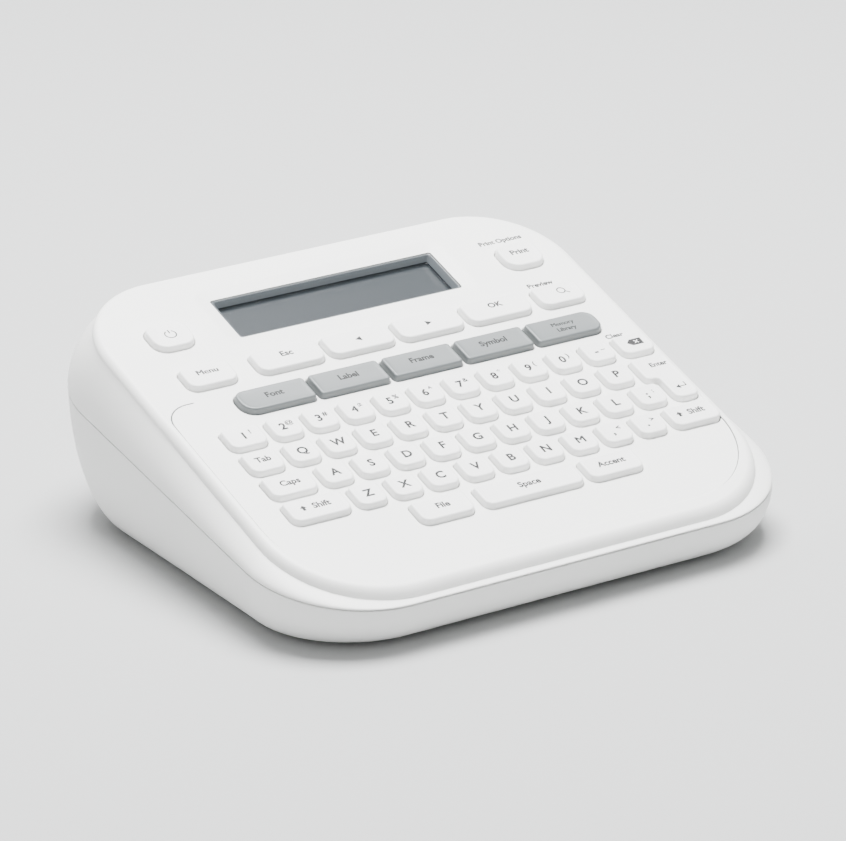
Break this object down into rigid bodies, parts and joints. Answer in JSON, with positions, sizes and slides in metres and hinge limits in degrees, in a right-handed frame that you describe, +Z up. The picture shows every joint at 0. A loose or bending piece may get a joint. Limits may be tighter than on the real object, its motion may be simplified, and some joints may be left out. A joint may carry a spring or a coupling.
{
  "type": "label maker",
  "caption": "Desktop label maker: a wedge-shaped white case with a sloping keyboard and display, over a tape cassette bay, print mechanism and battery bay.",
  "frame": {"origin": "centre of the overall footprint, at the underside of the feet", "axes": "+X to the user's right, +Y away from the user towards the back, +Z up"},
  "size_m": [0.188, 0.178, 0.0712],
  "materials": {
    "white_shell": "fine moulded texture",
    "white_key": "satin moulded",
    "grey_key": "satin moulded",
    "display_grey": "satin moulded",
    "display_clear": "clear, polished",
    "display_glass": "smooth glass with a grey cell",
    "board_green": "solder mask over glass fibre",
    "sheet_rubber": "moulded silicone",
    "black_rubber": "moulded rubber",
    "frame_plastic": "glass-filled moulding",
    "bare_steel": "plated sheet",
    "head_ceramic": "glazed thermal head",
    "gear_plastic": "moulded acetal",
    "cassette_grey": "fine spark texture",
    "label_tape": "wound laminated tape",
    "spool_green": "moulded",
    "black_plastic": "moulded",
    "pinion_brass": "machined"
  },
  "bodies": {
    "case": {"upper_case": "white_shell", "lower_case": "white_shell", "display_bezel": "display_grey", "display_window": "display_clear", "lcd_module": "display_glass", "circuit_board": "board_green", "keypad_sheet": "sheet_rubber", "mechanism_frame": "frame_plastic", "print_head": "head_ceramic", "drive_motor": "bare_steel", "battery_bay": "white_shell", "power_jack": "black_plastic", "usb_socket": "bare_steel", "cassette_lower_case": "cassette_grey", "cassette_upper_case": "cassette_grey", "cutter_spring": "bare_steel", "foot_front_left": "black_rubber", "foot_front_right": "black_rubber", "foot_back_left": "black_rubber", "foot_back_right": "black_rubber"},
    "key_one": {"key_one": "white_key"},
    "key_tab": {"key_tab": "white_key"},
    "key_caps": {"key_caps": "white_key"},
    "key_shift_left": {"key_shift_left": "white_key"},
    "key_shift_right": {"key_shift_right": "white_key"},
    "key_backspace": {"key_backspace": "white_key"},
    "key_enter": {"key_enter": "white_key"},
    "key_file": {"key_file": "white_key"},
    "key_space": {"key_space": "white_key"},
    "key_accent": {"key_accent": "white_key"},
    "key_font": {"key_font": "grey_key"},
    "key_label": {"key_label": "grey_key"},
    "key_frame": {"key_frame": "grey_key"},
    "key_symbol": {"key_symbol": "grey_key"},
    "key_memory": {"key_memory": "grey_key"},
    "key_menu": {"key_menu": "white_key"},
    "key_escape": {"key_escape": "white_key"},
    "key_left": {"key_left": "white_key"},
    "key_right": {"key_right": "white_key"},
    "key_ok": {"key_ok": "white_key"},
    "key_preview": {"key_preview": "white_key"},
    "key_power": {"key_power": "white_key"},
    "key_print": {"key_print": "white_key"},
    "keys_number_row": {"keys_number_row": "white_key"},
    "keys_top_row": {"keys_top_row": "white_key"},
    "keys_home_row": {"keys_home_row": "white_key"},
    "keys_bottom_row": {"keys_bottom_row": "white_key"},
    "back_cover": {"back_cover": "white_shell"},
    "motor_pinion": {"motor_pinion": "pinion_brass"},
    "idler_gear": {"idler_gear": "gear_plastic"},
    "feed_gear": {"feed_gear": "gear_plastic"},
    "tape_spool": {"tape_spool": "label_tape"},
    "roller_holder": {"roller_holder": "black_plastic"},
    "platen_roller": {"platen_roller": "black_rubber"},
    "feed_roller": {"feed_roller": "sheet_rubber"},
    "release_lever": {"release_lever": "gear_plastic"},
    "cutter_button": {"cutter_button": "grey_key"},
    "cutter_blade": {"cutter_blade": "bare_steel"},
    "ribbon_drive": {"ribbon_spindle": "gear_plastic", "ribbon_spool": "spool_green"}
  },
  "joints": [
    {"name": "key_one_press", "type": "slide", "parent": "case", "child": "key_one", "axis": [0, 0.3092, -0.951], "range_m": [0, 0.0012], "stiffness_N_per_m": 700},
    {"name": "key_tab_press", "type": "slide", "parent": "case", "child": "key_tab", "axis": [0, 0.3092, -0.951], "range_m": [0, 0.0012], "stiffness_N_per_m": 700},
    {"name": "key_caps_press", "type": "slide", "parent": "case", "child": "key_caps", "axis": [0, 0.3092, -0.951], "range_m": [0, 0.0012], "stiffness_N_per_m": 700},
    {"name": "key_shift_left_press", "type": "slide", "parent": "case", "child": "key_shift_left", "axis": [0, 0.3092, -0.951], "range_m": [0, 0.0012], "stiffness_N_per_m": 700},
    {"name": "key_shift_right_press", "type": "slide", "parent": "case", "child": "key_shift_right", "axis": [0, 0.3092, -0.951], "range_m": [0, 0.0012], "stiffness_N_per_m": 700},
    {"name": "key_backspace_press", "type": "slide", "parent": "case", "child": "key_backspace", "axis": [0, 0.3092, -0.951], "range_m": [0, 0.0012], "stiffness_N_per_m": 700},
    {"name": "key_enter_press", "type": "slide", "parent": "case", "child": "key_enter", "axis": [0, 0.3092, -0.951], "range_m": [0, 0.0012], "stiffness_N_per_m": 700},
    {"name": "key_file_press", "type": "slide", "parent": "case", "child": "key_file", "axis": [0, 0.3092, -0.951], "range_m": [0, 0.0012], "stiffness_N_per_m": 700},
    {"name": "key_space_press", "type": "slide", "parent": "case", "child": "key_space", "axis": [0, 0.3092, -0.951], "range_m": [0, 0.0012], "stiffness_N_per_m": 700},
    {"name": "key_accent_press", "type": "slide", "parent": "case", "child": "key_accent", "axis": [0, 0.3092, -0.951], "range_m": [0, 0.0012], "stiffness_N_per_m": 700},
    {"name": "key_font_press", "type": "slide", "parent": "case", "child": "key_font", "axis": [0, 0.3092, -0.951], "range_m": [0, 0.0012], "stiffness_N_per_m": 700},
    {"name": "key_label_press", "type": "slide", "parent": "case", "child": "key_label", "axis": [0, 0.3092, -0.951], "range_m": [0, 0.0012], "stiffness_N_per_m": 700},
    {"name": "key_frame_press", "type": "slide", "parent": "case", "child": "key_frame", "axis": [0, 0.3092, -0.951], "range_m": [0, 0.0012], "stiffness_N_per_m": 700},
    {"name": "key_symbol_press", "type": "slide", "parent": "case", "child": "key_symbol", "axis": [0, 0.3092, -0.951], "range_m": [0, 0.0012], "stiffness_N_per_m": 700},
    {"name": "key_memory_press", "type": "slide", "parent": "case", "child": "key_memory", "axis": [0, 0.3092, -0.951], "range_m": [0, 0.0012], "stiffness_N_per_m": 700},
    {"name": "key_menu_press", "type": "slide", "parent": "case", "child": "key_menu", "axis": [0, 0.3092, -0.951], "range_m": [0, 0.0012], "stiffness_N_per_m": 700},
    {"name": "key_escape_press", "type": "slide", "parent": "case", "child": "key_escape", "axis": [0, 0.3092, -0.951], "range_m": [0, 0.0012], "stiffness_N_per_m": 700},
    {"name": "key_left_press", "type": "slide", "parent": "case", "child": "key_left", "axis": [0, 0.3092, -0.951], "range_m": [0, 0.0012], "stiffness_N_per_m": 700},
    {"name": "key_right_press", "type": "slide", "parent": "case", "child": "key_right", "axis": [0, 0.3092, -0.951], "range_m": [0, 0.0012], "stiffness_N_per_m": 700},
    {"name": "key_ok_press", "type": "slide", "parent": "case", "child": "key_ok", "axis": [0, 0.3092, -0.951], "range_m": [0, 0.0012], "stiffness_N_per_m": 700},
    {"name": "key_preview_press", "type": "slide", "parent": "case", "child": "key_preview", "axis": [0, 0.3092, -0.951], "range_m": [0, 0.0012], "stiffness_N_per_m": 700},
    {"name": "key_power_press", "type": "slide", "parent": "case", "child": "key_power", "axis": [0, 0.3092, -0.951], "range_m": [0, 0.0012], "stiffness_N_per_m": 700},
    {"name": "key_print_press", "type": "slide", "parent": "case", "child": "key_print", "axis": [0, 0.3092, -0.951], "range_m": [0, 0.0012], "stiffness_N_per_m": 700},
    {"name": "keys_number_row_press", "type": "slide", "parent": "case", "child": "keys_number_row", "axis": [0, 0.3092, -0.951], "range_m": [0, 0.0012], "stiffness_N_per_m": 1500},
    {"name": "keys_top_row_press", "type": "slide", "parent": "case", "child": "keys_top_row", "axis": [0, 0.3092, -0.951], "range_m": [0, 0.0012], "stiffness_N_per_m": 1500},
    {"name": "keys_home_row_press", "type": "slide", "parent": "case", "child": "keys_home_row", "axis": [0, 0.3092, -0.951], "range_m": [0, 0.0012], "stiffness_N_per_m": 1500},
    {"name": "keys_bottom_row_press", "type": "slide", "parent": "case", "child": "keys_bottom_row", "axis": [0, 0.3092, -0.951], "range_m": [0, 0.0012], "stiffness_N_per_m": 1500},
    {"name": "back_cover_tilt", "type": "hinge", "parent": "case", "child": "back_cover", "pos_m": [0, -0.0436, 0.0012], "axis": [-1, 0, 0], "range_deg": [0, 75]},
    {"name": "ribbon_spin", "type": "hinge", "parent": "case", "child": "ribbon_drive", "pos_m": [-0.0297, 0.03035, 0.028], "axis": [0, 0, 1], "continuous": true},
    {"name": "feed_spin", "type": "hinge", "parent": "case", "child": "feed_gear", "pos_m": [-0.0407, 0.0494, 0.028], "axis": [0, 0, 1], "continuous": true},
    {"name": "idler_spin", "type": "hinge", "parent": "case", "child": "idler_gear", "pos_m": [-0.05915, 0.03742, 0.028], "axis": [0, 0, 1], "continuous": true},
    {"name": "motor_spin", "type": "hinge", "parent": "case", "child": "motor_pinion", "pos_m": [-0.07594, 0.04008, 0.028], "axis": [0, 0, 1], "continuous": true},
    {"name": "platen_spin", "type": "hinge", "parent": "roller_holder", "child": "platen_roller", "pos_m": [-0.0486, 0.034, 0.028], "axis": [0, 0, 1], "continuous": true},
    {"name": "feed_roller_spin", "type": "hinge", "parent": "roller_holder", "child": "feed_roller", "pos_m": [-0.0495, 0.052, 0.028], "axis": [0, 0, 1], "continuous": true},
    {"name": "tape_spool_spin", "type": "hinge", "parent": "case", "child": "tape_spool", "pos_m": [-0.004, -0.004, 0.028], "axis": [0, 0, 1], "continuous": true},
    {"name": "roller_holder_swing", "type": "hinge", "parent": "case", "child": "roller_holder", "pos_m": [-0.06, 0.01, 0.014], "axis": [0, 0, 1], "range_deg": [0, 8], "stiffness_Nm_per_rad": 0.05},
    {"name": "release_lever_turn", "type": "hinge", "parent": "case", "child": "release_lever", "pos_m": [-0.058, -0.008, 0.014], "axis": [0, 0, 1], "range_deg": [0, 25]},
    {"name": "cutter_button_press", "type": "slide", "parent": "case", "child": "cutter_button", "axis": [0, -1, 0], "range_m": [0, 0.004], "stiffness_N_per_m": 600, "deforming": ["cutter_spring"]},
    {"name": "cutter_blade_slide", "type": "slide", "parent": "case", "child": "cutter_blade", "axis": [1, 0, 0], "range_m": [0, 0.003]}
  ],
  "couplings": [
    {"joint": "feed_spin", "follows": "ribbon_spin", "ratio": -1.2},
    {"joint": "idler_spin", "follows": "ribbon_spin", "ratio": 1},
    {"joint": "motor_spin", "follows": "ribbon_spin", "ratio": -2.4},
    {"joint": "platen_spin", "follows": "ribbon_spin", "ratio": 1.2},
    {"joint": "feed_roller_spin", "follows": "ribbon_spin", "ratio": 1.5},
    {"joint": "release_lever_turn", "follows": "roller_holder_swing", "ratio": 3.125},
    {"joint": "cutter_blade_slide", "follows": "cutter_button_press", "ratio": 0.75}
  ]
}
